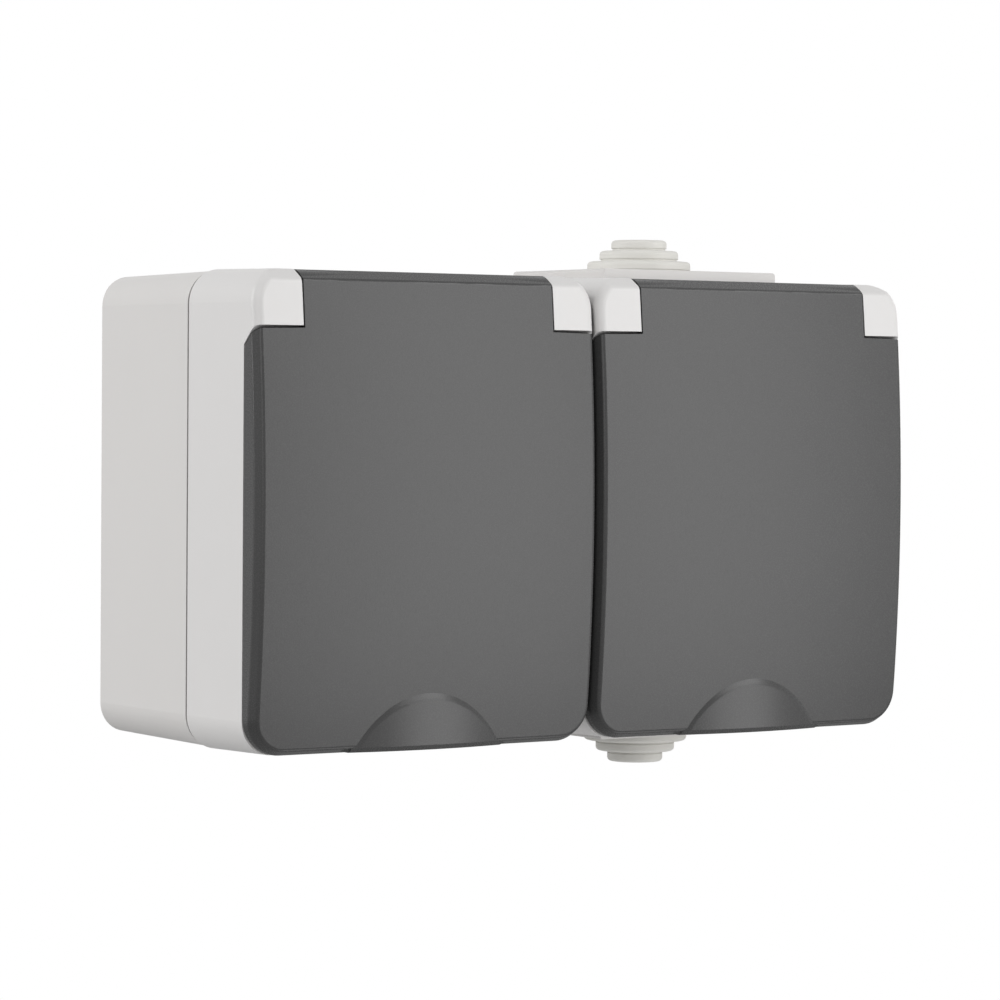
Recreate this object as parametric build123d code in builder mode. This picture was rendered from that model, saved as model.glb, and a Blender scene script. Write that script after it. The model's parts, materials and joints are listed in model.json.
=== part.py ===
from build123d import *
from math import atan2, degrees, hypot, sqrt
import os

# Double weatherproof wall socket with two spring-closed flip lids.
# Frame: origin at the centre of the back face, the wall is the plane Y = 0, the front faces -Y, +Z is up.
# A depth is a distance from the wall, so a point at depth d lies at Y = -d.

# Outline of one socket module and of the pair
MODULE_WIDTH = 72.55
MODULE_HEIGHT = 85.0
MODULE_GAP = 0.7
CORNER_RADIUS = 6.0
BOX_DEPTH = 32.0
COVER_DEPTH = 19.4
PARTING_GAP = 0.9

# Bowed front face shared by the lids and the ears of the covers
FACE_RISE = 6.1
FACE_RADIUS = 400.0
FACE_SWEEP = 850.0
FACE_SWEEP_ANGLE = 8.0
TOP_BEVEL_DEPTH = 2.6
TOP_BEVEL_HEIGHT = 1.65
TOP_SOFTENING = 0.7

# Rear box
BOX_DRAFT = 0.8
BOX_WALL = 2.9
BOX_BACK = 2.5
RIM_LIP = 1.2
SEAL_LEDGE = 4.0
PARTITION_SLOT = 2.6
PARTITION_SLOT_LENGTH = 28.0
PARTITION_SLOT_DEPTH = 16.0
PARTITION_BRIDGE = 10.0
WIRE_NOTCH_WIDTH = 12.0
WIRE_NOTCH_DEPTH = 8.0
WALL_HOLE_DIA = 4.8
WALL_HOLE_INSET = 9.5
POST_DIA = 8.0
POST_DROP = 2.0

# Cable entries on the right-hand module
ENTRY_OFFSET = 2.7
ENTRY_DEPTH = 15.1
ENTRY_WIDTH = 41.6
ENTRY_HEIGHT = 2.5
ENTRY_BACK = 1.8
ENTRY_WALL = 2.4
ENTRY_CORNER = 0.7
ENTRY_HOLE_DIA = 16.0
GROMMET_STEP_DIAS = (20.3, 15.5, 10.9)
GROMMET_STEP = 2.1
GROMMET_NECK = 0.5
GROMMET_UNDERCUT = 0.25
GROMMET_BEAD = 0.75
GROMMET_WALL = 1.4
GROMMET_FLANGE_DIA = 20.0
GROMMET_FLANGE = 1.5
GROMMET_PLAY = 0.6

# Front cover
COVER_FLARE = 0.25
COVER_WALL = 2.4
COVER_PLATE = 2.4
SKIRT_WALL = 1.1
SKIRT_CLEARANCE = 0.1
SEAL_HEIGHT = 1.6
EAR_HEIGHT = 9.9
EAR_WIDTH = 9.5
EAR_SLOPE = 3.4
EAR_BLEND = 2.0
EAR_ROUND = 1.8
EAR_SOFTENING = 1.5
COLLAR_WALL = 2.6
SCREW_INSET_X = 8.5
SCREW_INSET_Z = 18.5
SCREW_TUBE_DIA = 10.4

# Cover screws
SCREW_DIA = 3.5
SCREW_HEAD_DIA = 6.6
SCREW_HEAD = 2.4
SCREW_HEAD_DROP = 4.0
SCREW_GRIP = 12.0
SCREW_CLEARANCE = 0.25
DRIVE_SLOT = 1.0
DRIVE_DEPTH = 1.2

# Lid and its hinge
LID_WALL = 2.2
LID_GAP = 0.3
LID_CORNER = 6.6
LID_BEVEL = 0.9
LID_BEVEL_DEPTH = 1.7
LID_SOFTENING = 0.8
LID_TOP_DROP = 0.1
TONGUE_CLEARANCE = 0.3
SHOULDER_CLEARANCE = 0.38
SHOULDER_WALL = 1.8
BARREL_RADIUS = 3.4
TROUGH_CLEARANCE = 0.45
PIN_DIA = 2.2
PIN_RUNNING = 0.05
PIN_BITE = 5.5
PIN_SET = 0.6

# Raised finger lip at the bottom of the lid
LIP_RADIUS = 18.1
LIP_HEIGHT = 10.1
LIP_STEP = 0.45
LIP_SLOPE = 1.1
LIP_RISE = 1.8
LIP_CURVE = 77.0
LIP_EDGE = 1.0

# Seal ring inside the lid
LID_SEAL_DIA = 58.9
LID_SEAL_WIDTH = 2.4
LID_SEAL_HEIGHT = 2.0
LID_SEAL_RIB = 1.2
LID_SEAL_BITE = 1.1

# Lid return spring
SPRING_WIRE = 0.6
SPRING_MEAN_DIA = 3.8
SPRING_PITCH = 0.9
SPRING_TURNS = 5.5
SPRING_LEG = 4.2
SPRING_PLAY = 0.35
SPRING_NOTCH = 9.0
WIRE_FACETS = 8

# Socket insert with its recessed well
WELL_DIA = 39.4
WELL_DEPTH = 17.5
WELL_WALL = 2.2
WELL_FLOOR = 2.5
WELL_MOUTH = 0.8
FLANGE_DIA = 54.0
FLANGE = 2.0
INSERT_CLEARANCE = 0.2
PIN_PITCH = 19.0
PIN_HOLE_DIA = 5.4
KEY_WIDTH = 5.0
KEY_RISE = 1.7
KEY_DROP = 4.0
EARTH_SLOT_BACK = 1.0
EARTH_SLOT_LENGTH = 12.5

# Contact carrier, contacts and terminals
CARRIER_DIA = 50.0
CARRIER_DEPTH = 13.0
CARRIER_LEG_WIDTH = 7.0
CARRIER_LEG_ANGLE = 45.0
CONTACT_BORE = 4.7
CONTACT_WALL = 0.9
CONTACT_SLIT = 1.0
TERMINAL_WIDTH = 8.0
TERMINAL_HEIGHT = 9.0
TERMINAL_DEPTH = 7.0
TERMINAL_WIRE_DIA = 2.8
TERMINAL_SCREW_DIA = 3.0
TERMINAL_SCREW_GRIP = 3.6
TERMINAL_HEAD_DIA = 5.0
TERMINAL_HEAD = 1.6
EARTH_STRIP = 0.8
EARTH_WIDTH = 8.0
EARTH_BEND = 1.2
EARTH_REACH = 2.6
EARTH_TAIL_Z = 14.5
EARTH_PLAY = 0.5
CENTRE_SCREW_DIA = 3.0
CENTRE_HEAD_DIA = 6.0
CENTRE_HEAD = 1.8
CENTRE_GRIP = 8.0
FIT = 0.05

# Places worked out from the sizes above
MODULE_PITCH = MODULE_WIDTH + MODULE_GAP
MODULE_X = {"left": -MODULE_PITCH / 2, "right": MODULE_PITCH / 2}
HALF_WIDTH = MODULE_WIDTH / 2
HALF_HEIGHT = MODULE_HEIGHT / 2
RIM_DEPTH = BOX_DEPTH + COVER_DEPTH
FACE_CROWN = RIM_DEPTH + FACE_RISE
EAR_BOTTOM = HALF_HEIGHT - EAR_HEIGHT
EAR_INNER = HALF_WIDTH - EAR_WIDTH
LID_REAR = RIM_DEPTH + LID_GAP
LID_TOP = HALF_HEIGHT - LID_TOP_DROP
TONGUE_HALF = EAR_INNER - TONGUE_CLEARANCE
AXIS_DEPTH = LID_REAR
AXIS_Z = LID_TOP - BARREL_RADIUS
BOX_WIDTH = MODULE_PITCH + MODULE_WIDTH
LEDGE_DEPTH = BOX_DEPTH - SEAL_LEDGE
COVER_BACK = BOX_DEPTH + PARTING_GAP
PLATE_BACK = RIM_DEPTH - COVER_PLATE
PIN_END = EAR_INNER + PIN_BITE
SKIRT_DEPTH = LEDGE_DEPTH + SEAL_HEIGHT
POST_TOP = BOX_DEPTH - POST_DROP
SCREW_X = HALF_WIDTH - SCREW_INSET_X
SCREW_Z = HALF_HEIGHT - SCREW_INSET_Z
SCREW_SPOTS = ((SCREW_X, SCREW_Z), (-SCREW_X, -SCREW_Z))
HEAD_TOP = RIM_DEPTH - SCREW_HEAD_DROP
HEAD_SEAT = HEAD_TOP - SCREW_HEAD
WALL_HOLE_Z = HALF_HEIGHT - WALL_HOLE_INSET
ENTRY_X = MODULE_X["right"] + ENTRY_OFFSET
ENTRY_TOP = HALF_HEIGHT + ENTRY_HEIGHT
SEAT_DEPTH = RIM_DEPTH - FLANGE
COLLAR_BACK = SEAT_DEPTH - COLLAR_WALL
WELL_FLOOR_DEPTH = RIM_DEPTH - WELL_DEPTH
INSERT_BACK = WELL_FLOOR_DEPTH - WELL_FLOOR
CUP_DIA = WELL_DIA + 2 * WELL_WALL
CARRIER_BACK = INSERT_BACK - CARRIER_DEPTH
TERMINAL_BACK = CARRIER_BACK - TERMINAL_DEPTH
TERMINAL_MID = CARRIER_BACK - TERMINAL_DEPTH / 2
CONTACT_DIA = CONTACT_BORE + 2 * CONTACT_WALL
LID_SEAL_SEAT = LID_REAR + LID_SEAL_HEIGHT
SPRING_LENGTH = SPRING_TURNS * SPRING_PITCH
SPRING_SPACE = SPRING_MEAN_DIA / 2 + SPRING_WIRE / 2 + SPRING_PLAY

# Side view plane: local x is the depth and local y is Z; a positive extrusion goes towards -X
SIDE = Plane(origin=(0, 0, 0), x_dir=(0, -1, 0), z_dir=(-1, 0, 0))
LOW_CENTRE = (Align.CENTER, Align.MIN)
LOW_LEFT = (Align.MIN, Align.MIN)
LEFT_CENTRE = (Align.MIN, Align.CENTER)

# Start plane of the bowed face, a side view turned about the upright axis that the face is swept around
SWEEP_AXIS = Axis((0, FACE_SWEEP - FACE_CROWN, 0), (0, 0, 1))
SWEEP_TURN = Pos(SWEEP_AXIS.position) * Rot(0, 0, -FACE_SWEEP_ANGLE / 2) * Pos(-SWEEP_AXIS.position)
SWEEP_SIDE = Plane(SWEEP_TURN * SIDE.location)


def front_plane(depth):
    """Plane parallel to the wall; a positive extrusion from it goes towards the front."""
    return Plane.XZ.offset(depth)


def face_point(z, inset=0.0):
    """Side view point at height z on the bowed face, or on a surface that lies inset behind it."""
    return (FACE_CROWN - FACE_RADIUS + sqrt((FACE_RADIUS - inset) ** 2 - z**2), z)


def bowed_block(inset=0.0):
    """Block between the wall and the face, which is bowed both ways, or a surface inset behind it."""
    low_point = face_point(-MODULE_HEIGHT, inset)
    high_point = face_point(MODULE_HEIGHT, inset)
    with BuildPart() as block:
        with BuildSketch(SWEEP_SIDE):
            with BuildLine():
                Polyline(high_point, (0, MODULE_HEIGHT), (0, -MODULE_HEIGHT), low_point)
                ThreePointArc(low_point, face_point(0, inset), high_point)
            make_face()
        revolve(axis=SWEEP_AXIS, revolution_arc=FACE_SWEEP_ANGLE)
    return block.part


def nearest_vertex(sketch, point):
    """Vertex of an open sketch that lies nearest to a local point."""
    return sketch.vertices().sort_by_distance((*point, 0))[0]


def module_outline(inset, mode=Mode.ADD):
    """Rounded outline of a module, inset all round by a distance."""
    width = MODULE_WIDTH - 2 * inset
    height = MODULE_HEIGHT - 2 * inset
    return RectangleRounded(width, height, CORNER_RADIUS - inset, mode=mode)


def finish(piece, label, x=0.0):
    """Move a piece across the width to its place, name it and write it."""
    placed = piece.moved(Location((x, 0, 0)))
    placed.label = label
    export_step(placed, f"parts/{label}.step")


def finish_pair(piece, label):
    """Write a module piece once for each module."""
    for side, x in MODULE_X.items():
        finish(piece, f"{side}_{label}", x)


os.makedirs("parts", exist_ok=True)

# Rear box: one drafted tray with two chambers, screw posts, wall holes and two cable entries
module_centres = [(x, 0) for x in MODULE_X.values()]
post_spots = [(x + dx, dz) for x in MODULE_X.values() for dx, dz in SCREW_SPOTS]
with BuildPart() as rear_box:
    with BuildSketch(front_plane(BOX_DEPTH)):
        RectangleRounded(BOX_WIDTH, MODULE_HEIGHT, CORNER_RADIUS)
    extrude(amount=-BOX_DEPTH, taper=BOX_DRAFT)
    with BuildSketch(front_plane(ENTRY_BACK)):
        with Locations((ENTRY_X, 0)):
            RectangleRounded(ENTRY_WIDTH, 2 * ENTRY_TOP, ENTRY_CORNER)
    extrude(amount=BOX_DEPTH - ENTRY_BACK)
    with BuildSketch(front_plane(BOX_BACK)):
        with Locations(*module_centres):
            module_outline(BOX_WALL)
    extrude(amount=BOX_DEPTH - BOX_BACK, mode=Mode.SUBTRACT)
    with BuildSketch(front_plane(LEDGE_DEPTH)):
        with Locations(*module_centres):
            module_outline(RIM_LIP)
    extrude(amount=SEAL_LEDGE, mode=Mode.SUBTRACT)
    # Hollow of the cable entries and the grommet holes through their walls
    with BuildSketch(Plane.XY):
        with Locations((ENTRY_X, -ENTRY_DEPTH)):
            Circle(GROMMET_FLANGE_DIA / 2 + GROMMET_PLAY)
    extrude(amount=ENTRY_TOP - ENTRY_WALL, both=True, mode=Mode.SUBTRACT)
    with BuildSketch(Plane.XY):
        with Locations((ENTRY_X, -ENTRY_DEPTH)):
            Circle(ENTRY_HOLE_DIA / 2)
    extrude(amount=ENTRY_TOP, both=True, mode=Mode.SUBTRACT)
    # Slots that lighten the partition from behind, and the notch that passes the wires over it
    with BuildSketch(front_plane(0)):
        with GridLocations(0, PARTITION_SLOT_LENGTH + PARTITION_BRIDGE, 1, 2):
            SlotOverall(PARTITION_SLOT_LENGTH, PARTITION_SLOT, rotation=90)
    extrude(amount=PARTITION_SLOT_DEPTH, mode=Mode.SUBTRACT)
    with BuildSketch(front_plane(LEDGE_DEPTH - WIRE_NOTCH_DEPTH)):
        Rectangle(MODULE_GAP + 4 * BOX_WALL, WIRE_NOTCH_WIDTH)
    extrude(amount=WIRE_NOTCH_DEPTH, mode=Mode.SUBTRACT)
    # Screw posts with pilot holes, and the wall holes
    with BuildSketch(front_plane(BOX_BACK)):
        with Locations(*post_spots):
            Circle(POST_DIA / 2)
    extrude(amount=POST_TOP - BOX_BACK)
    with BuildSketch(front_plane(POST_TOP)):
        with Locations(*post_spots):
            Circle(SCREW_DIA / 2 + FIT)
    extrude(amount=-SCREW_GRIP, mode=Mode.SUBTRACT)
    with BuildSketch(front_plane(0)):
        with GridLocations(MODULE_PITCH, 2 * WALL_HOLE_Z, 2, 2):
            Circle(WALL_HOLE_DIA / 2)
    extrude(amount=BOX_BACK, mode=Mode.SUBTRACT)
finish(rear_box.part, "rear_box")

# Cable grommet: a closed hollow cone of three beads whose groove grips the wall of the cable entry
grommet_low = ENTRY_TOP - ENTRY_WALL - GROMMET_FLANGE
with BuildPart() as cable_grommet:
    with BuildSketch(Plane.XZ) as grommet_section:
        with Locations((0, grommet_low)):
            Rectangle(GROMMET_FLANGE_DIA / 2, GROMMET_FLANGE, align=LOW_LEFT)
            Rectangle(ENTRY_HOLE_DIA / 2 - FIT, ENTRY_TOP - grommet_low, align=LOW_LEFT)
        for index, step_dia in enumerate(GROMMET_STEP_DIAS):
            with Locations((0, ENTRY_TOP + index * GROMMET_STEP)):
                Rectangle(step_dia / 2 - GROMMET_UNDERCUT, GROMMET_STEP, align=LOW_LEFT)
            with Locations((0, ENTRY_TOP + index * GROMMET_STEP + GROMMET_NECK)):
                Rectangle(step_dia / 2, GROMMET_STEP - GROMMET_NECK, align=LOW_LEFT)
            bead_top = (step_dia / 2, ENTRY_TOP + (index + 1) * GROMMET_STEP)
            fillet(nearest_vertex(grommet_section, bead_top), GROMMET_BEAD)
        for index, step_dia in enumerate(GROMMET_STEP_DIAS):
            bore = min(step_dia - 2 * GROMMET_UNDERCUT, ENTRY_HOLE_DIA) / 2 - GROMMET_WALL
            roof = ENTRY_TOP + (index + 1) * GROMMET_STEP - GROMMET_WALL
            with Locations((0, grommet_low)):
                Rectangle(bore, roof - grommet_low, align=LOW_LEFT, mode=Mode.SUBTRACT)
    revolve(axis=Axis.Z)
grommet_top = cable_grommet.part.moved(Location((0, -ENTRY_DEPTH, 0)))
finish(grommet_top, "cable_grommet_top", ENTRY_X)
finish(grommet_top.mirror(Plane.XY), "cable_grommet_bottom", ENTRY_X)

# Wedge that bevels the top edge of the face, swept like the face itself
bevel_point = face_point(LID_TOP - TOP_BEVEL_HEIGHT)
wedge_front = bevel_point[0] + TOP_BEVEL_DEPTH
wedge_top = LID_TOP + TOP_BEVEL_HEIGHT
with BuildPart() as top_wedge:
    with BuildSketch(SWEEP_SIDE):
        with BuildLine():
            Polyline(
                (wedge_front, bevel_point[1] - TOP_BEVEL_HEIGHT),
                (bevel_point[0] - 2 * TOP_BEVEL_DEPTH, wedge_top),
                (wedge_front, wedge_top),
                close=True,
            )
        make_face()
    revolve(axis=SWEEP_AXIS, revolution_arc=FACE_SWEEP_ANGLE)

# Envelope of a cover: the drafted outline under the bowed face, with a rounded front edge
with BuildPart() as cover_envelope:
    with BuildSketch(front_plane(COVER_BACK)):
        module_outline(-COVER_FLARE)
    cover_draft = degrees(atan2(COVER_FLARE, RIM_DEPTH - COVER_BACK))
    extrude(amount=FACE_CROWN + FACE_RISE - COVER_BACK, taper=cover_draft)
    add(bowed_block(), mode=Mode.INTERSECT)
    fillet(cover_envelope.faces().sort_by(Axis.Y)[0].edges(), EAR_ROUND)
    add(top_wedge.part, mode=Mode.SUBTRACT)
    top_bevel = cover_envelope.faces().filter_by(GeomType.CONE).sort_by(Axis.Z)[-1]
    fillet(top_bevel.edges().sort_by(Axis.Z)[0], EAR_SOFTENING)

# Trough in which the lid's barrel and the top of its tongue turn
tongue_reach = hypot(bevel_point[0] - AXIS_DEPTH, bevel_point[1] - AXIS_Z)
trough_radius = tongue_reach + TROUGH_CLEARANCE
trough_back = AXIS_DEPTH - trough_radius - COVER_WALL
pocket_top = AXIS_Z - trough_radius - COVER_WALL

# Front cover: the envelope cut back to the rim, which leaves the two ears that carry the lid
with BuildPart() as front_cover:
    add(cover_envelope.part)
    with BuildSketch(SIDE) as front_space:
        with BuildLine():
            Polyline(
                (RIM_DEPTH, -MODULE_HEIGHT),
                (RIM_DEPTH, EAR_BOTTOM - EAR_SLOPE),
                (RIM_DEPTH + EAR_SLOPE, EAR_BOTTOM),
                (FACE_CROWN + FACE_RISE, EAR_BOTTOM),
                (FACE_CROWN + FACE_RISE, -MODULE_HEIGHT),
                close=True,
            )
        make_face()
        fillet(nearest_vertex(front_space, (RIM_DEPTH + EAR_SLOPE, EAR_BOTTOM)), EAR_BLEND)
    extrude(amount=MODULE_WIDTH, both=True, mode=Mode.SUBTRACT)
    # Opening between the ears, and the trough
    with BuildSketch(SIDE):
        with Locations((AXIS_DEPTH, AXIS_Z)):
            Circle(trough_radius)
        with Locations((RIM_DEPTH, AXIS_Z)):
            Rectangle(2 * FACE_RISE, 2 * (AXIS_Z - EAR_BOTTOM + EAR_SLOPE), align=LEFT_CENTRE)
    extrude(amount=EAR_INNER, both=True, mode=Mode.SUBTRACT)
    # Hollow behind the plate, kept clear of the trough
    with BuildSketch(front_plane(COVER_BACK)):
        module_outline(COVER_WALL)
    extrude(amount=trough_back - COVER_BACK, mode=Mode.SUBTRACT)
    with BuildSketch(front_plane(trough_back)) as pocket:
        with Locations((0, COVER_WALL - HALF_HEIGHT)):
            Rectangle(MODULE_WIDTH - 2 * COVER_WALL, pocket_top - COVER_WALL + HALF_HEIGHT, align=LOW_CENTRE)
        fillet(pocket.vertices(), CORNER_RADIUS - COVER_WALL)
    extrude(amount=PLATE_BACK - trough_back, mode=Mode.SUBTRACT)
    # Skirt that enters the box and presses on the seal
    with BuildSketch(front_plane(SKIRT_DEPTH)):
        module_outline(RIM_LIP + SKIRT_CLEARANCE)
        module_outline(RIM_LIP + SKIRT_CLEARANCE + SKIRT_WALL, mode=Mode.SUBTRACT)
    extrude(amount=COVER_BACK + COVER_WALL - SKIRT_DEPTH)
    # Collar with the stepped seat of the socket insert
    with BuildSketch(front_plane(COLLAR_BACK)):
        Circle(FLANGE_DIA / 2 + COLLAR_WALL)
    extrude(amount=SEAT_DEPTH - COLLAR_BACK)
    with BuildSketch(front_plane(COLLAR_BACK)):
        Circle(CUP_DIA / 2 + INSERT_CLEARANCE)
    extrude(amount=RIM_DEPTH - COLLAR_BACK, mode=Mode.SUBTRACT)
    with BuildSketch(front_plane(SEAT_DEPTH)):
        Circle(FLANGE_DIA / 2 + INSERT_CLEARANCE)
    extrude(amount=FLANGE, mode=Mode.SUBTRACT)
    # Screw tubes that stand on the posts of the box
    with BuildSketch(front_plane(POST_TOP)):
        with Locations(*SCREW_SPOTS):
            Circle(SCREW_TUBE_DIA / 2)
    extrude(amount=PLATE_BACK - POST_TOP)
    with BuildSketch(front_plane(POST_TOP)):
        with Locations(*SCREW_SPOTS):
            Circle(SCREW_DIA / 2 + SCREW_CLEARANCE)
    extrude(amount=RIM_DEPTH - POST_TOP, mode=Mode.SUBTRACT)
    with BuildSketch(front_plane(HEAD_SEAT)):
        with Locations(*SCREW_SPOTS):
            Circle(SCREW_HEAD_DIA / 2 + SCREW_CLEARANCE)
    extrude(amount=RIM_DEPTH - HEAD_SEAT, mode=Mode.SUBTRACT)
    # Bore for the hinge pin, blind in the left ear and open in the right one
    with BuildSketch(SIDE.offset(-HALF_WIDTH)):
        with Locations((AXIS_DEPTH, AXIS_Z)):
            Circle(PIN_DIA / 2 + FIT)
    extrude(amount=HALF_WIDTH + PIN_END, mode=Mode.SUBTRACT)
finish_pair(front_cover.part, "front_cover")

# Seal between the box and a cover, a square ring on the ledge of the box
with BuildPart() as cover_seal:
    with BuildSketch(front_plane(LEDGE_DEPTH)):
        module_outline(RIM_LIP + FIT)
        module_outline(BOX_WALL, mode=Mode.SUBTRACT)
    extrude(amount=SEAL_HEIGHT)
finish_pair(cover_seal.part, "cover_seal")

# Pair of cover screws, slotted pan heads with plain shanks
with BuildPart() as cover_screws:
    with BuildSketch(front_plane(POST_TOP - SCREW_GRIP)):
        with Locations(*SCREW_SPOTS):
            Circle(SCREW_DIA / 2)
    extrude(amount=HEAD_SEAT - POST_TOP + SCREW_GRIP)
    with BuildSketch(front_plane(HEAD_SEAT)):
        with Locations(*SCREW_SPOTS):
            Circle(SCREW_HEAD_DIA / 2)
    extrude(amount=SCREW_HEAD)
    with BuildSketch(front_plane(HEAD_TOP)):
        with Locations(*SCREW_SPOTS):
            Rectangle(SCREW_HEAD_DIA, DRIVE_SLOT)
    extrude(amount=-DRIVE_DEPTH, mode=Mode.SUBTRACT)
finish_pair(cover_screws.part, "cover_screws")

# Finger lip: a disc standing on the face, rounded off by a cylinder that leans out towards the bottom
lip_top = LIP_HEIGHT - HALF_HEIGHT
lip_back = face_point(-HALF_HEIGHT, LID_WALL)[0]
lip_rear_line = face_point(lip_top)[0] + LIP_STEP
lip_front_line = face_point(-HALF_HEIGHT)[0] + LIP_RISE
lean = (0, lip_front_line - lip_rear_line, LIP_HEIGHT)
with BuildPart() as finger_lip:
    with BuildSketch(front_plane(lip_back)):
        with Locations((0, lip_top - LIP_RADIUS)):
            Circle(LIP_RADIUS)
        with Locations((0, -HALF_HEIGHT)):
            Rectangle(2 * LIP_RADIUS, LIP_HEIGHT, align=LOW_CENTRE, mode=Mode.INTERSECT)
    extrude(amount=2 * FACE_RISE)
    with BuildSketch(Plane(origin=(0, -lip_front_line, -HALF_HEIGHT), x_dir=(1, 0, 0), z_dir=lean)):
        with Locations((0, LIP_CURVE)):
            Circle(LIP_CURVE)
    extrude(amount=2 * LIP_HEIGHT, both=True, mode=Mode.INTERSECT)
    lip_face = finger_lip.faces().filter_by(GeomType.CYLINDER).sort_by(Axis.Y)[0]
    chamfer(lip_face.edges().sort_by(Axis.Z)[0], LID_BEVEL)
    lip_face = finger_lip.faces().filter_by(GeomType.CYLINDER).sort_by(Axis.Y)[0]
    chamfer(lip_face.edges().sort_by(Axis.Z)[-1], LIP_SLOPE, LIP_STEP, reference=lip_face)
    lip_face = finger_lip.faces().filter_by(GeomType.CYLINDER).sort_by(Axis.Y)[0]
    fillet(lip_face.edges().sort_by(Axis.Z)[-1], LIP_EDGE)

# Hollow of the lid behind its bowed wall, leaving the ring that holds the lid seal
with BuildPart() as lid_hollow:
    add(bowed_block(LID_WALL))
    with BuildSketch(front_plane(RIM_DEPTH)) as hollow_outline:
        with Locations((0, LID_WALL - HALF_HEIGHT)):
            hollow_height = EAR_BOTTOM - EAR_SLOPE - SHOULDER_WALL + HALF_HEIGHT - LID_WALL
            Rectangle(MODULE_WIDTH - 2 * LID_WALL, hollow_height, align=LOW_CENTRE)
        fillet(hollow_outline.vertices().group_by(Axis.Y)[0], LID_CORNER - LID_WALL)
        with Locations((0, 0)):
            tongue_hollow = AXIS_Z - BARREL_RADIUS - SHOULDER_WALL
            Rectangle(2 * (TONGUE_HALF - LID_WALL), tongue_hollow, align=LOW_CENTRE)
    extrude(amount=FACE_RISE, mode=Mode.INTERSECT)
    with BuildSketch(front_plane(LID_SEAL_SEAT - LID_SEAL_BITE)):
        Circle((LID_SEAL_DIA + LID_SEAL_WIDTH) / 2 + LID_SEAL_RIB)
        Circle((LID_SEAL_DIA - LID_SEAL_WIDTH) / 2 - LID_SEAL_RIB, mode=Mode.SUBTRACT)
    extrude(amount=FACE_RISE, mode=Mode.SUBTRACT)

# Flip lid: bowed panel with bevelled edges, relieved under the ears, with a tongue and barrel between them
ear_front = face_point(EAR_BOTTOM)[0] - FACE_SWEEP + sqrt(FACE_SWEEP**2 - EAR_INNER**2)
relief_radius = hypot(ear_front - AXIS_DEPTH, EAR_BOTTOM - AXIS_Z) + SHOULDER_CLEARANCE
shoulder_z = EAR_BOTTOM - SHOULDER_CLEARANCE
with BuildPart() as lid:
    with BuildSketch(front_plane(LID_REAR)) as panel_outline:
        with Locations((0, -HALF_HEIGHT)):
            Rectangle(MODULE_WIDTH, HALF_HEIGHT + LID_TOP, align=LOW_CENTRE)
        fillet(panel_outline.vertices().group_by(Axis.Y)[0], LID_CORNER)
    extrude(amount=2 * FACE_RISE)
    add(bowed_block(), mode=Mode.INTERSECT)
    lid_face = lid.faces().sort_by(Axis.Y)[0]
    chamfer(lid_face.edges().sort_by(Axis.Z)[:-1], LID_BEVEL, LID_BEVEL_DEPTH, reference=lid_face)
    bevel_edges = lid.edges(Select.LAST).filter_by(lambda edge: edge.length > 2 * LID_BEVEL_DEPTH)
    fillet(bevel_edges.sort_by(Axis.Z)[:-1], LID_SOFTENING)
    add(top_wedge.part, mode=Mode.SUBTRACT)
    for start in (TONGUE_HALF, -MODULE_WIDTH):
        with BuildSketch(SIDE.offset(start)) as ear_clearance:
            with BuildLine():
                Polyline(
                    (RIM_DEPTH, HALF_HEIGHT),
                    (RIM_DEPTH, 0),
                    (LID_REAR, 0),
                    (LID_REAR, shoulder_z - EAR_SLOPE),
                    (LID_REAR + EAR_SLOPE, shoulder_z),
                    (FACE_CROWN, shoulder_z),
                    (FACE_CROWN, HALF_HEIGHT),
                    close=True,
                )
            make_face()
            fillet(nearest_vertex(ear_clearance, (LID_REAR + EAR_SLOPE, shoulder_z)), EAR_BLEND)
            with Locations((AXIS_DEPTH, AXIS_Z)):
                Circle(relief_radius)
        extrude(amount=MODULE_WIDTH - TONGUE_HALF, mode=Mode.SUBTRACT)
    tongue_edge = lid.faces().filter_by(GeomType.CONE).sort_by(Axis.Y)[0].edges().sort_by(Axis.Z)[0]
    fillet(tongue_edge, TOP_SOFTENING)
    with BuildSketch(SIDE):
        with Locations((AXIS_DEPTH, AXIS_Z)):
            Circle(BARREL_RADIUS)
    extrude(amount=TONGUE_HALF, both=True)
    add(finger_lip.part)
    add(lid_hollow.part, mode=Mode.SUBTRACT)
    # Groove of the lid seal
    with BuildSketch(front_plane(LID_SEAL_SEAT)):
        Circle((LID_SEAL_DIA + LID_SEAL_WIDTH) / 2 + FIT)
        Circle((LID_SEAL_DIA - LID_SEAL_WIDTH) / 2 - FIT, mode=Mode.SUBTRACT)
    extrude(amount=-LID_SEAL_HEIGHT, mode=Mode.SUBTRACT)
    # Bore of the barrel, and the notch that takes the spring and its legs
    with BuildSketch(SIDE):
        with Locations((AXIS_DEPTH, AXIS_Z)):
            Circle(PIN_DIA / 2 + PIN_RUNNING)
    extrude(amount=TONGUE_HALF, both=True, mode=Mode.SUBTRACT)
    with BuildSketch(SIDE):
        with Locations((AXIS_DEPTH, AXIS_Z)):
            Circle(SPRING_SPACE)
            Rectangle(2 * BARREL_RADIUS, 2 * trough_radius, align=(Align.MAX, Align.CENTER))
            Rectangle(SPRING_SPACE, trough_radius, align=(Align.MIN, Align.MAX))
    extrude(amount=SPRING_NOTCH / 2, both=True, mode=Mode.SUBTRACT)
finish_pair(lid.part, "lid")

# Seal ring inside the lid
with BuildPart() as lid_seal:
    with BuildSketch(front_plane(LID_REAR)):
        Circle((LID_SEAL_DIA + LID_SEAL_WIDTH) / 2)
        Circle((LID_SEAL_DIA - LID_SEAL_WIDTH) / 2, mode=Mode.SUBTRACT)
    extrude(amount=LID_SEAL_HEIGHT)
finish_pair(lid_seal.part, "lid_seal")

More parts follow.
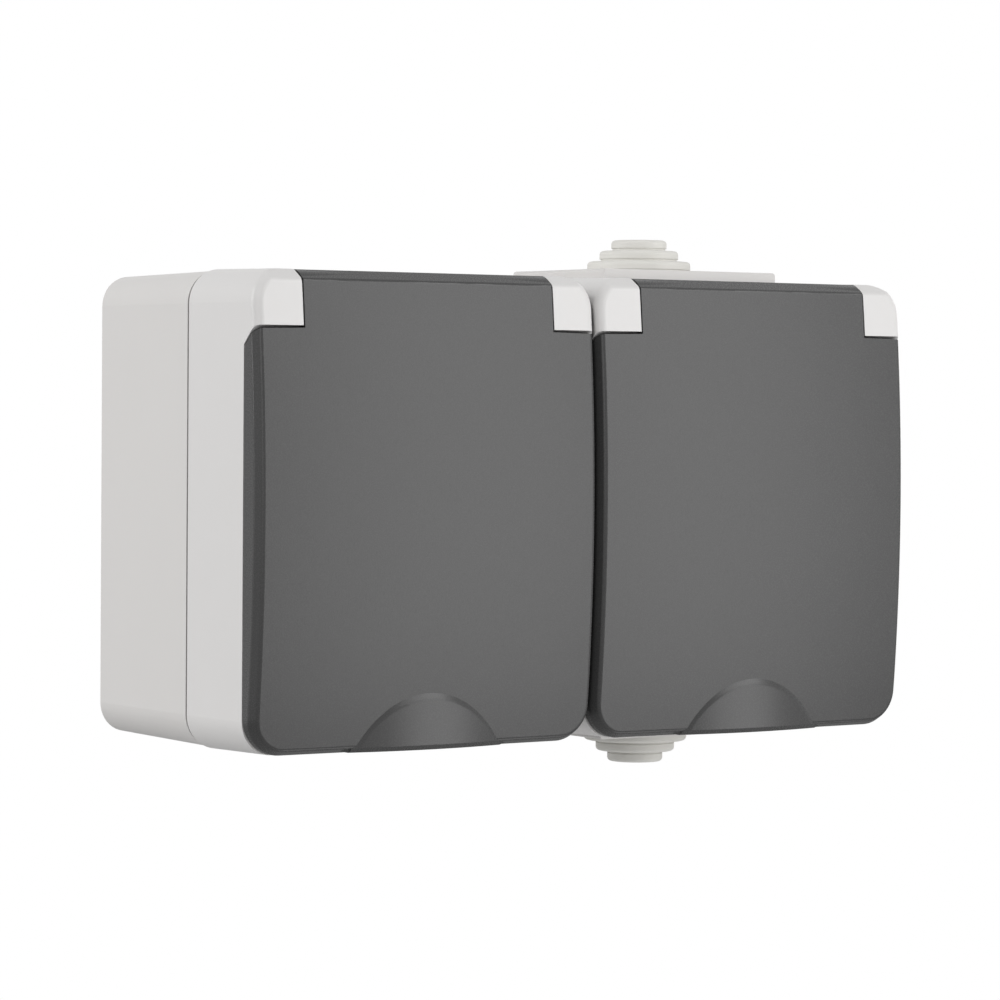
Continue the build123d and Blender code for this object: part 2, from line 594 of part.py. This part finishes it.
# Hinge pin, pushed in from the right-hand ear
with BuildPart() as hinge_pin:
    with BuildSketch(SIDE.offset(PIN_SET - HALF_WIDTH)):
        with Locations((AXIS_DEPTH, AXIS_Z)):
            Circle(PIN_DIA / 2)
    extrude(amount=HALF_WIDTH - PIN_SET + PIN_END)
finish_pair(hinge_pin.part, "hinge_pin")

# Torsion spring on the hinge pin; local x points to the wall, local y up and local z along the pin
coil_plane = Plane(origin=(-SPRING_LENGTH / 2, -AXIS_DEPTH, AXIS_Z), x_dir=(0, 1, 0), z_dir=(1, 0, 0))
with BuildPart() as lid_spring:
    with BuildLine() as spring_path:
        coil = Helix(SPRING_PITCH, SPRING_LENGTH, SPRING_MEAN_DIA / 2)
        Line(coil @ 0 - SPRING_LEG * (coil % 0), coil @ 0)
        Line(coil @ 1, coil @ 1 + SPRING_LEG * (coil % 1))
    spring_wire = spring_path.wires()[0]
    with BuildSketch(Plane(origin=spring_wire @ 0, z_dir=spring_wire % 0)):
        RegularPolygon(SPRING_WIRE / 2, WIRE_FACETS)
    sweep(path=spring_wire)
finish_pair(lid_spring.part.moved(Location(coil_plane)), "lid_spring")

# Socket insert: flanged cup with the well, pin holes, keys and slots for the earth clips
with BuildPart() as socket_insert:
    with BuildSketch(front_plane(INSERT_BACK)):
        Circle(CUP_DIA / 2)
    extrude(amount=RIM_DEPTH - INSERT_BACK)
    with BuildSketch(front_plane(SEAT_DEPTH)):
        Circle(FLANGE_DIA / 2)
    extrude(amount=FLANGE)
    with BuildSketch(front_plane(WELL_FLOOR_DEPTH)):
        Circle(WELL_DIA / 2)
    extrude(amount=WELL_DEPTH, mode=Mode.SUBTRACT)
    mouth = socket_insert.edges().filter_by(GeomType.CIRCLE).group_by(Axis.Y)[0].sort_by(SortBy.RADIUS)[0]
    fillet(mouth, WELL_MOUTH)
    cup_back = socket_insert.edges().filter_by(GeomType.CIRCLE).sort_by(Axis.Y)[-1]
    chamfer(cup_back, EARTH_BEND)
    with BuildSketch(front_plane(WELL_FLOOR_DEPTH)):
        with GridLocations(WELL_DIA - KEY_RISE + WELL_WALL, 0, 2, 1):
            Rectangle(KEY_RISE + WELL_WALL, KEY_WIDTH)
        Circle((CUP_DIA + WELL_DIA) / 4, mode=Mode.INTERSECT)
    extrude(amount=WELL_DEPTH - KEY_DROP)
    with BuildSketch(front_plane(INSERT_BACK)):
        with GridLocations(PIN_PITCH, 0, 2, 1):
            Circle(PIN_HOLE_DIA / 2)
        Circle(CENTRE_SCREW_DIA / 2 + FIT)
    extrude(amount=WELL_FLOOR, mode=Mode.SUBTRACT)
    with BuildSketch(front_plane(WELL_FLOOR_DEPTH + EARTH_SLOT_BACK)):
        Rectangle(EARTH_WIDTH + 2 * EARTH_PLAY, CUP_DIA + 2 * WELL_WALL)
        Rectangle(EARTH_WIDTH + 2 * EARTH_PLAY, WELL_DIA - 2 * WELL_WALL, mode=Mode.SUBTRACT)
    extrude(amount=EARTH_SLOT_LENGTH, mode=Mode.SUBTRACT)
finish_pair(socket_insert.part, "socket_insert")

# Contact carrier behind the insert; its legs bear on the collar of the cover
leg_inner = CUP_DIA / 2 + INSERT_CLEARANCE
leg_depth = CARRIER_DIA / 2 - leg_inner
with BuildPart() as contact_carrier:
    with BuildSketch(front_plane(CARRIER_BACK)):
        Circle(CARRIER_DIA / 2)
    extrude(amount=CARRIER_DEPTH)
    with BuildSketch(front_plane(INSERT_BACK)):
        with PolarLocations(leg_inner + leg_depth / 2, 4, start_angle=CARRIER_LEG_ANGLE):
            Rectangle(leg_depth, CARRIER_LEG_WIDTH)
    extrude(amount=COLLAR_BACK - INSERT_BACK)
    with BuildSketch(front_plane(CARRIER_BACK)):
        with GridLocations(PIN_PITCH, 0, 2, 1):
            Circle(CONTACT_DIA / 2 + FIT)
        with Locations((0, EARTH_TAIL_Z)):
            Rectangle(EARTH_WIDTH + 2 * FIT, EARTH_STRIP + 2 * FIT)
    extrude(amount=CARRIER_DEPTH, mode=Mode.SUBTRACT)
    with BuildSketch(front_plane(INSERT_BACK)):
        Rectangle(EARTH_WIDTH + 2 * FIT, CARRIER_DIA)
    extrude(amount=-EARTH_STRIP, mode=Mode.SUBTRACT)
    with BuildSketch(front_plane(INSERT_BACK)):
        Circle(CENTRE_SCREW_DIA / 2 + FIT)
    extrude(amount=-CENTRE_GRIP, mode=Mode.SUBTRACT)
finish_pair(contact_carrier.part, "contact_carrier")

# Earth bracket: one bent strip with a clip at each end, and a tail that carries its terminal
clip_z = CUP_DIA / 2 + INSERT_CLEARANCE + EARTH_STRIP / 2
clip_tip_z = WELL_DIA / 2 - EARTH_REACH
strip_depth = INSERT_BACK - EARTH_STRIP / 2
slot_back = WELL_FLOOR_DEPTH + EARTH_SLOT_BACK
clip_low = slot_back + EARTH_SLOT_LENGTH / 4
clip_mid = slot_back + EARTH_SLOT_LENGTH / 2
clip_end = slot_back + EARTH_SLOT_LENGTH - EARTH_STRIP
terminal_top = EARTH_TAIL_Z + TERMINAL_HEIGHT / 2
with BuildPart() as earth_bracket:
    with BuildSketch(SIDE):
        with BuildLine():
            FilletPolyline(
                (clip_end, -(clip_tip_z + clip_z) / 2),
                (clip_mid, -clip_tip_z),
                (clip_low, -clip_z),
                (strip_depth, -clip_z),
                (strip_depth, clip_z),
                (clip_low, clip_z),
                (clip_mid, clip_tip_z),
                (clip_end, (clip_tip_z + clip_z) / 2),
                radius=EARTH_BEND,
            )
        trace(line_width=EARTH_STRIP)
        with Locations((CARRIER_BACK, EARTH_TAIL_Z)):
            Rectangle(strip_depth - CARRIER_BACK, EARTH_STRIP, align=LEFT_CENTRE)
            Rectangle(TERMINAL_DEPTH, TERMINAL_HEIGHT, align=(Align.MAX, Align.CENTER))
    extrude(amount=EARTH_WIDTH / 2, both=True)
    with BuildSketch(front_plane(strip_depth - EARTH_STRIP)):
        Circle(CENTRE_SCREW_DIA / 2 + FIT)
    extrude(amount=2 * EARTH_STRIP, mode=Mode.SUBTRACT)
    with BuildSketch(Plane.XY.offset(terminal_top)):
        with Locations((0, -TERMINAL_MID)):
            Circle(TERMINAL_SCREW_DIA / 2 + FIT)
    extrude(amount=-TERMINAL_SCREW_GRIP, mode=Mode.SUBTRACT)
    with BuildSketch(SIDE):
        with Locations((TERMINAL_MID, EARTH_TAIL_Z)):
            Circle(TERMINAL_WIRE_DIA / 2)
    extrude(amount=EARTH_WIDTH, both=True, mode=Mode.SUBTRACT)
finish_pair(earth_bracket.part, "earth_bracket")

# Pin contact: a slit brass tube in the carrier with a screw terminal block behind it
contact_top = TERMINAL_HEIGHT / 2
with BuildPart() as pin_contact:
    with BuildSketch(front_plane(CARRIER_BACK)):
        Circle(CONTACT_DIA / 2)
        Circle(CONTACT_BORE / 2, mode=Mode.SUBTRACT)
        with Locations((0, CONTACT_DIA / 2)):
            Rectangle(CONTACT_SLIT, CONTACT_DIA, mode=Mode.SUBTRACT)
    extrude(amount=CARRIER_DEPTH - EARTH_STRIP)
    with BuildSketch(front_plane(TERMINAL_BACK)):
        Rectangle(TERMINAL_WIDTH, TERMINAL_HEIGHT)
    extrude(amount=TERMINAL_DEPTH)
    with BuildSketch(Plane.XY.offset(contact_top)):
        with Locations((0, -TERMINAL_MID)):
            Circle(TERMINAL_SCREW_DIA / 2 + FIT)
    extrude(amount=-TERMINAL_SCREW_GRIP, mode=Mode.SUBTRACT)
    with BuildSketch(SIDE):
        with Locations((TERMINAL_MID, 0)):
            Circle(TERMINAL_WIRE_DIA / 2)
    extrude(amount=TERMINAL_WIDTH, both=True, mode=Mode.SUBTRACT)
finish_pair(pin_contact.part.moved(Location((-PIN_PITCH / 2, 0, 0))), "line_contact")
finish_pair(pin_contact.part.moved(Location((PIN_PITCH / 2, 0, 0))), "neutral_contact")

# Terminal screws of the two pin contacts and the earth bracket
terminal_spots = ((-PIN_PITCH / 2, contact_top), (PIN_PITCH / 2, contact_top), (0, terminal_top))
with BuildPart() as terminal_screws:
    for x, z in terminal_spots:
        with BuildSketch(Plane.XY.offset(z)):
            with Locations((x, -TERMINAL_MID)):
                Circle(TERMINAL_SCREW_DIA / 2)
        extrude(amount=-TERMINAL_SCREW_GRIP)
        with BuildSketch(Plane.XY.offset(z)):
            with Locations((x, -TERMINAL_MID)):
                Circle(TERMINAL_HEAD_DIA / 2)
        extrude(amount=TERMINAL_HEAD)
        with BuildSketch(Plane.XY.offset(z + TERMINAL_HEAD)):
            with Locations((x, -TERMINAL_MID)):
                Rectangle(TERMINAL_HEAD_DIA, DRIVE_SLOT)
        extrude(amount=-TERMINAL_HEAD / 2, mode=Mode.SUBTRACT)
finish_pair(terminal_screws.part, "terminal_screws")

# Centre screw that clamps the insert and the carrier on the collar of the cover
with BuildPart() as centre_screw:
    with BuildSketch(front_plane(INSERT_BACK - CENTRE_GRIP)):
        Circle(CENTRE_SCREW_DIA / 2)
    extrude(amount=CENTRE_GRIP + WELL_FLOOR)
    with BuildSketch(front_plane(WELL_FLOOR_DEPTH)):
        Circle(CENTRE_HEAD_DIA / 2)
    extrude(amount=CENTRE_HEAD)
    with BuildSketch(front_plane(WELL_FLOOR_DEPTH + CENTRE_HEAD)):
        Rectangle(CENTRE_HEAD_DIA, DRIVE_SLOT)
    extrude(amount=-CENTRE_HEAD / 2, mode=Mode.SUBTRACT)
finish_pair(centre_screw.part, "centre_screw")
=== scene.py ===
"""Double weatherproof wall socket in a plain studio, seen from where the photograph was taken.

The CAD frame is in metres: the wall is Y = 0, the front faces -Y and +Z is up.
"""
import json
from math import cos, pi, radians, sin, tau

import bpy
from mathutils import Matrix, Vector


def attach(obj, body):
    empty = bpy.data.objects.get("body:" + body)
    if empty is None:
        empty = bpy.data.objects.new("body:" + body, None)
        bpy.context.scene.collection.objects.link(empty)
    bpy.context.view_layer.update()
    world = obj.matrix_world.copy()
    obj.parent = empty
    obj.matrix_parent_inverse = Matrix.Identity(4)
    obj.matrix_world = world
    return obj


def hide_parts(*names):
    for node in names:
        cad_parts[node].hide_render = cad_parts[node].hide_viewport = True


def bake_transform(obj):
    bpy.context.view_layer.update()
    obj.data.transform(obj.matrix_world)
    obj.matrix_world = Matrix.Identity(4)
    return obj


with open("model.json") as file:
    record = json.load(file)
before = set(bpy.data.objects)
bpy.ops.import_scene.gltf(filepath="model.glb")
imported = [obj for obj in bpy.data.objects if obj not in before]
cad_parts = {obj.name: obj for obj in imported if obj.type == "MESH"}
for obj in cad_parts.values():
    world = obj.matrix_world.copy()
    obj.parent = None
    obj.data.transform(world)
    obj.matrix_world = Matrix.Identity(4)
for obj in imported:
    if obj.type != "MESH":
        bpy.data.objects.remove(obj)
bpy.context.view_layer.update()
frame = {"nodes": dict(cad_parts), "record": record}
scene = bpy.context.scene
scene.view_settings.view_transform = "Standard"

# Camera, fitted to the photograph
IMAGE_SIZE = 1000.0
EYE = Vector((-0.42604, -0.64010, 0.02085))
YAW = radians(34.683)
PITCH = radians(1.395)
ROLL = radians(0.425)
FOCAL_PIXELS = 3947.44
PRINCIPAL_POINT = (499.92, 490.38)
SENSOR_WIDTH = 36.0
CLIP_START = 0.01

# Softboxes: name, direction from the object, distance, width, height, radiance
LAMPS = (
    ("key", (0.555, -0.83, 0.06), 1.5, 0.60, 1.20, 4.4),
    ("fill", (0.46, -0.70, 0.54), 1.8, 1.20, 0.34, 6.5),
    ("front", (-0.72, -0.62, 0.30), 1.8, 1.00, 1.00, 2.1),
    ("left", (-0.86, 0.35, 0.36), 1.5, 0.22, 0.90, 17.5),
    ("low", (0.50, -0.36, -0.79), 1.5, 0.60, 0.60, 2.6),
)
LAMP_TARGET = Vector((0.0, -0.04, 0.0))

# Light of the world from straight above and straight below, and the white that it shows to the eye
SKY_ABOVE = 0.38
SKY_BELOW = 0.20
WHITE = (1.0, 1.0, 1.0, 1.0)

# Round floor, well below the object
FLOOR_Z = -1.3
FLOOR_RADIUS = 6.5
FLOOR_STEPS = 96
FLOOR_GREY = 0.8
FLOOR_ROUGHNESS = 0.9

# Moulded surfaces: clouds in the colour, and a fine grain that sways the roughness and raises the surface
CLOUD_SCALE = 90.0
CLOUD_DETAIL = 4.0
GRAIN_DETAIL = 3.0
GRAIN_SWAY = 0.06
GRAIN_HEIGHT = 0.00005

# Painted shade in narrow gaps of the plastic: how far the shader looks, how open a gap is from fully shaded
# to unshaded, how dark the painted shade gets
CREVICE_DEPTH = 0.003
CREVICE_OPENING = (0.10, 0.36)
DARKEST_PAINTED_SHADE = 0.03
CREVICE_SAMPLES = 8

# Drawing lines of the metals: their detail, how dark they are, and how they sway the roughness
LINE_DETAIL = 4.0
LINE_SHADE = 0.82
LINE_SWAY = (-0.08, 0.12)

# Lid springs: round wire coiled on the hinge pin, with a leg at each end
SPRING_RADIUS = 0.0019
SPRING_WIRE = 0.0003
SPRING_PITCH = 0.0009
SPRING_TURNS = 5.5
SPRING_LEG = 0.0042
TURN_STEPS = 28
WIRE_STEPS = 10

# Web at the left end of a finger lip, from the middle of its lid: three corners on the lip, one on the bevel
LIP_WEB = (
    (-0.01575, -0.05488, -0.04172),
    (-0.01620, -0.05438, -0.04250),
    (-0.01620, -0.05319, -0.04250),
    (-0.01790, -0.05395, -0.04210),
)
WEB_FACES = ((3, 1, 0), (3, 2, 1), (3, 0, 2), (1, 2, 0))


def add_object(name, data):
    """New object in the scene."""
    thing = bpy.data.objects.new(name, data)
    scene.collection.objects.link(thing)
    return thing


def set_camera():
    """Place the camera where the photograph was taken from."""
    forward = Vector((sin(YAW) * cos(PITCH), cos(YAW) * cos(PITCH), -sin(PITCH)))
    right = Vector((cos(YAW), -sin(YAW), 0.0))
    up = right.cross(forward)
    rolled_right = cos(ROLL) * right + sin(ROLL) * up
    rolled_up = cos(ROLL) * up - sin(ROLL) * right
    turned = Matrix((rolled_right, rolled_up, -forward)).transposed().to_4x4()
    middle = IMAGE_SIZE / 2
    data = bpy.data.cameras.new("camera")
    data.sensor_width = SENSOR_WIDTH
    data.lens = FOCAL_PIXELS / IMAGE_SIZE * SENSOR_WIDTH
    data.shift_x = (middle - PRINCIPAL_POINT[0]) / IMAGE_SIZE
    data.shift_y = (PRINCIPAL_POINT[1] - middle) / IMAGE_SIZE
    data.clip_start = CLIP_START
    camera = add_object("camera", data)
    camera.matrix_world = Matrix.Translation(EYE) @ turned
    scene.camera = camera


def set_lamps():
    """Soft studio lamps that face the object."""
    for name, direction, distance, width, height, radiance in LAMPS:
        data = bpy.data.lights.new(name, "AREA")
        data.shape = "RECTANGLE"
        data.size = width
        data.size_y = height
        data.energy = radiance * pi * width * height
        lamp = add_object(name, data)
        away = Vector(direction).normalized()
        lamp.location = LAMP_TARGET + distance * away
        lamp.rotation_euler = (-away).to_track_quat("-Z", "Y").to_euler()


def ranged(tree, value, low, high, start=0.0, end=1.0):
    """Socket that goes from low to high while a value goes from start to end."""
    node = tree.nodes.new("ShaderNodeMapRange")
    node.inputs["From Min"].default_value = start
    node.inputs["From Max"].default_value = end
    node.inputs["To Min"].default_value = low
    node.inputs["To Max"].default_value = high
    tree.links.new(value, node.inputs["Value"])
    return node.outputs["Result"]


def background_ray(tree):
    """Socket that is 1 for rays that show the background to the eye, also in a gloss or through glass."""
    path = tree.nodes.new("ShaderNodeLightPath")
    shown = path.outputs["Is Camera Ray"]
    for ray in ("Is Glossy Ray", "Is Transmission Ray"):
        either = tree.nodes.new("ShaderNodeMath")
        either.operation = "MAXIMUM"
        tree.links.new(shown, either.inputs[0])
        tree.links.new(path.outputs[ray], either.inputs[1])
        shown = either.outputs[0]
    return shown


def set_world():
    """World that is white to the eye and lights from above more than from below."""
    world = bpy.data.worlds.new("studio")
    scene.world = world
    world.use_nodes = True
    tree = world.node_tree
    tree.nodes.clear()
    add, link = tree.nodes.new, tree.links.new
    coordinate = add("ShaderNodeTexCoord")
    split = add("ShaderNodeSeparateXYZ")
    light = add("ShaderNodeBackground")
    light.inputs["Color"].default_value = WHITE
    white = add("ShaderNodeBackground")
    white.inputs["Color"].default_value = WHITE
    seen = add("ShaderNodeMixShader")
    output = add("ShaderNodeOutputWorld")
    link(coordinate.outputs["Generated"], split.inputs[0])
    # The Z of a direction runs from -1, straight down, to 1, straight up
    strength = ranged(tree, split.outputs["Z"], SKY_BELOW, SKY_ABOVE, start=-1.0, end=1.0)
    link(strength, light.inputs["Strength"])
    link(background_ray(tree), seen.inputs[0])
    link(light.outputs[0], seen.inputs[1])
    link(white.outputs[0], seen.inputs[2])
    link(seen.outputs[0], output.inputs["Surface"])


def principled(name):
    """New material, with its node tree and its surface shader."""
    material = bpy.data.materials.new(name)
    material.use_nodes = True
    return material, material.node_tree, material.node_tree.nodes["Principled BSDF"]


def set_floor():
    """A wide round pale floor well below the object, as below a socket on a wall."""
    mesh = bpy.data.meshes.new("floor")
    angles = [tau * i / FLOOR_STEPS for i in range(FLOOR_STEPS)]
    rim = [(FLOOR_RADIUS * cos(angle), FLOOR_RADIUS * sin(angle), FLOOR_Z) for angle in angles]
    mesh.from_pydata(rim, [], [tuple(range(FLOOR_STEPS))])
    floor = add_object("floor", mesh)
    material, _, surface = principled("floor")
    surface.inputs["Base Color"].default_value = (FLOOR_GREY, FLOOR_GREY, FLOOR_GREY, 1.0)
    surface.inputs["Roughness"].default_value = FLOOR_ROUGHNESS
    mesh.materials.append(material)


def noise(tree, scale, detail):
    """Socket with a noise that sits still on the object."""
    place = tree.nodes.new("ShaderNodeTexCoord")
    texture = tree.nodes.new("ShaderNodeTexNoise")
    texture.inputs["Scale"].default_value = scale
    texture.inputs["Detail"].default_value = detail
    tree.links.new(place.outputs["Object"], texture.inputs["Vector"])
    return texture.outputs["Fac"]


def tinted(tree, factor, first, second):
    """Socket with a colour that goes from the first to the second with a factor."""
    mix = tree.nodes.new("ShaderNodeMix")
    mix.data_type = "RGBA"
    mix.inputs["A"].default_value = (*first, 1.0)
    mix.inputs["B"].default_value = (*second, 1.0)
    tree.links.new(factor, mix.inputs["Factor"])
    return mix.outputs["Result"]


def paint_shade_in_gaps(tree, paint):
    """Socket with a colour that has painted shade, darkening it deep inside narrow gaps."""
    crevice = tree.nodes.new("ShaderNodeAmbientOcclusion")
    crevice.samples = CREVICE_SAMPLES
    crevice.inputs["Distance"].default_value = CREVICE_DEPTH
    # Painted shade: the colour goes darker as the gap closes in
    shade = ranged(tree, crevice.outputs["AO"], DARKEST_PAINTED_SHADE, 1.0, *CREVICE_OPENING)
    mix = tree.nodes.new("ShaderNodeMix")
    mix.data_type = "RGBA"
    mix.blend_type = "MULTIPLY"
    mix.inputs["Factor"].default_value = 1.0
    tree.links.new(paint, mix.inputs["A"])
    tree.links.new(shade, mix.inputs["B"])
    return mix.outputs["Result"]


def moulded(name, colour, roughness, grain, relief, mottle, specular=0.5, painted_gap_shade=False):
    """Moulded plastic or rubber: a fine grain as bump and roughness, a cloudy colour, and maybe painted shade
    in narrow gaps.
    """
    material, tree, surface = principled(name)
    surface.inputs["Specular IOR Level"].default_value = specular
    dark = [c * (1.0 - mottle) for c in colour]
    light = [min(c * (1.0 + mottle), 1.0) for c in colour]
    paint = tinted(tree, noise(tree, CLOUD_SCALE, CLOUD_DETAIL), dark, light)
    # Painted shade deep in narrow gaps, where shade falls
    if painted_gap_shade:
        paint = paint_shade_in_gaps(tree, paint)
    fine = noise(tree, grain, GRAIN_DETAIL)
    polish = ranged(tree, fine, roughness - GRAIN_SWAY, roughness + GRAIN_SWAY)
    bump = tree.nodes.new("ShaderNodeBump")
    bump.inputs["Strength"].default_value = relief
    bump.inputs["Distance"].default_value = GRAIN_HEIGHT
    tree.links.new(paint, surface.inputs["Base Color"])
    tree.links.new(polish, surface.inputs["Roughness"])
    tree.links.new(fine, bump.inputs["Height"])
    tree.links.new(bump.outputs["Normal"], surface.inputs["Normal"])
    return material


def metal(name, colour, roughness, grain):
    """Plain drawn or stamped metal with fine drawing lines."""
    material, tree, surface = principled(name)
    surface.inputs["Metallic"].default_value = 1.0
    lines = noise(tree, grain, LINE_DETAIL)
    paint = tinted(tree, lines, [c * LINE_SHADE for c in colour], colour)
    polish = ranged(tree, lines, roughness + LINE_SWAY[0], roughness + LINE_SWAY[1])
    tree.links.new(paint, surface.inputs["Base Color"])
    tree.links.new(polish, surface.inputs["Roughness"])
    return material


def wire_mesh(name, path, radius):
    """Mesh of a round wire with closed ends along a list of points."""
    verts, faces = [], []
    across = Vector((1.0, 0.0, 0.0))
    for i, point in enumerate(path):
        along = (path[min(i + 1, len(path) - 1)] - path[max(i - 1, 0)]).normalized()
        across = (across - across.dot(along) * along).normalized()
        beside = along.cross(across)
        for k in range(WIRE_STEPS):
            angle = tau * k / WIRE_STEPS
            verts.append(point + radius * (cos(angle) * across + sin(angle) * beside))
    for i in range(len(path) - 1):
        for k in range(WIRE_STEPS):
            a, b = i * WIRE_STEPS + k, i * WIRE_STEPS + (k + 1) % WIRE_STEPS
            faces.append((a, b, b + WIRE_STEPS, a + WIRE_STEPS))
    smooth = [True] * len(faces) + [False, False]
    faces.append(tuple(reversed(range(WIRE_STEPS))))
    faces.append(tuple(range(len(verts) - WIRE_STEPS, len(verts))))
    mesh = bpy.data.meshes.new(name)
    mesh.from_pydata(verts, [], faces)
    mesh.polygons.foreach_set("use_smooth", smooth)
    return mesh


def add_spring(side, hinge, finish):
    """Torsion spring of round wire on the hinge pin, in place of the lid's CAD spring."""
    name = f"{side}_round_spring"
    half = Vector((SPRING_TURNS * SPRING_PITCH / 2, 0.0, 0.0))
    start = Vector(hinge) - half
    end = Vector(hinge) + half
    path = [start + Vector((0.0, SPRING_RADIUS, -SPRING_LEG))]
    for i in range(round(SPRING_TURNS * TURN_STEPS) + 1):
        turn = tau * i / TURN_STEPS
        rise = SPRING_PITCH * i / TURN_STEPS
        path.append(start + Vector((rise, SPRING_RADIUS * cos(turn), SPRING_RADIUS * sin(turn))))
    path.append(end + Vector((0.0, -SPRING_RADIUS, -SPRING_LEG)))
    mesh = wire_mesh(name, path, SPRING_WIRE)
    mesh.materials.append(finish)
    piece = add_object(name, mesh)
    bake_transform(piece)
    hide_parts(f"{side}_lid_spring")


def add_lip_webs(side, middle, finish):
    """Carry both ends of a finger lip into the bevel of its lid, as a moulding does."""
    mirrored_faces = [tuple(reversed(face)) for face in WEB_FACES]
    for end, across, faces in (("left", 1.0, WEB_FACES), ("right", -1.0, mirrored_faces)):
        name = f"{side}_lip_web_{end}"
        corners = [(middle + across * x, y, z) for x, y, z in LIP_WEB]
        mesh = bpy.data.meshes.new(name)
        mesh.from_pydata(corners, [], faces)
        mesh.materials.append(finish)
        piece = add_object(name, mesh)
        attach(piece, f"{side}_lid")


set_camera()
set_lamps()
set_world()
set_floor()

# Finishes of the record's material slots
finishes = {
    # The housing plastic gets painted shade in its narrow gaps
    "housing_plastic": moulded(
        "light_grey_plastic", (0.68, 0.67, 0.663), roughness=0.38, grain=5200.0, relief=0.12, mottle=0.012,
        specular=0.4, painted_gap_shade=True,
    ),
    "lid_plastic": moulded(
        "dark_grey_plastic", (0.049, 0.049, 0.049), roughness=0.27, grain=4200.0, relief=0.2, mottle=0.03,
        specular=0.27,
    ),
    "grommet_rubber": moulded(
        "light_grey_rubber", (0.715, 0.705, 0.67), roughness=0.55, grain=3800.0, relief=0.15, mottle=0.02,
        specular=0.3,
    ),
    "seal_rubber": moulded(
        "black_rubber", (0.02, 0.02, 0.021), roughness=0.6, grain=3500.0, relief=0.2, mottle=0.05,
    ),
    "insert_plastic": moulded(
        "grey_insert_plastic", (0.6, 0.59, 0.58), roughness=0.4, grain=5200.0, relief=0.1, mottle=0.012,
    ),
    "carrier_plastic": moulded(
        "cream_carrier_plastic", (0.72, 0.69, 0.6), roughness=0.4, grain=4800.0, relief=0.1, mottle=0.015,
    ),
    "steel": metal("zinc_steel", (0.52, 0.52, 0.53), roughness=0.4, grain=2600.0),
    "brass": metal("brass", (0.72, 0.5, 0.22), roughness=0.3, grain=2600.0),
}
for entry in frame["record"]["subparts"]:
    slots = frame["nodes"][entry["node"]].data.materials
    slots.clear()
    slots.append(finishes[entry["material_slot"]])

# The box is a little warmer than the covers, and also gets painted shade in its narrow gaps
frame["nodes"]["rear_box"].data.materials[0] = moulded(
    "light_grey_box_plastic", (0.65, 0.636, 0.624), roughness=0.4, grain=5000.0, relief=0.12, mottle=0.012,
    specular=0.4, painted_gap_shade=True,
)

for joint in frame["record"]["behaviour"]["joints"]:
    lid_side = joint["child"].removesuffix("_lid")
    add_spring(lid_side, joint["pos_m"], finishes["steel"])
    add_lip_webs(lid_side, joint["pos_m"][0], finishes["lid_plastic"])
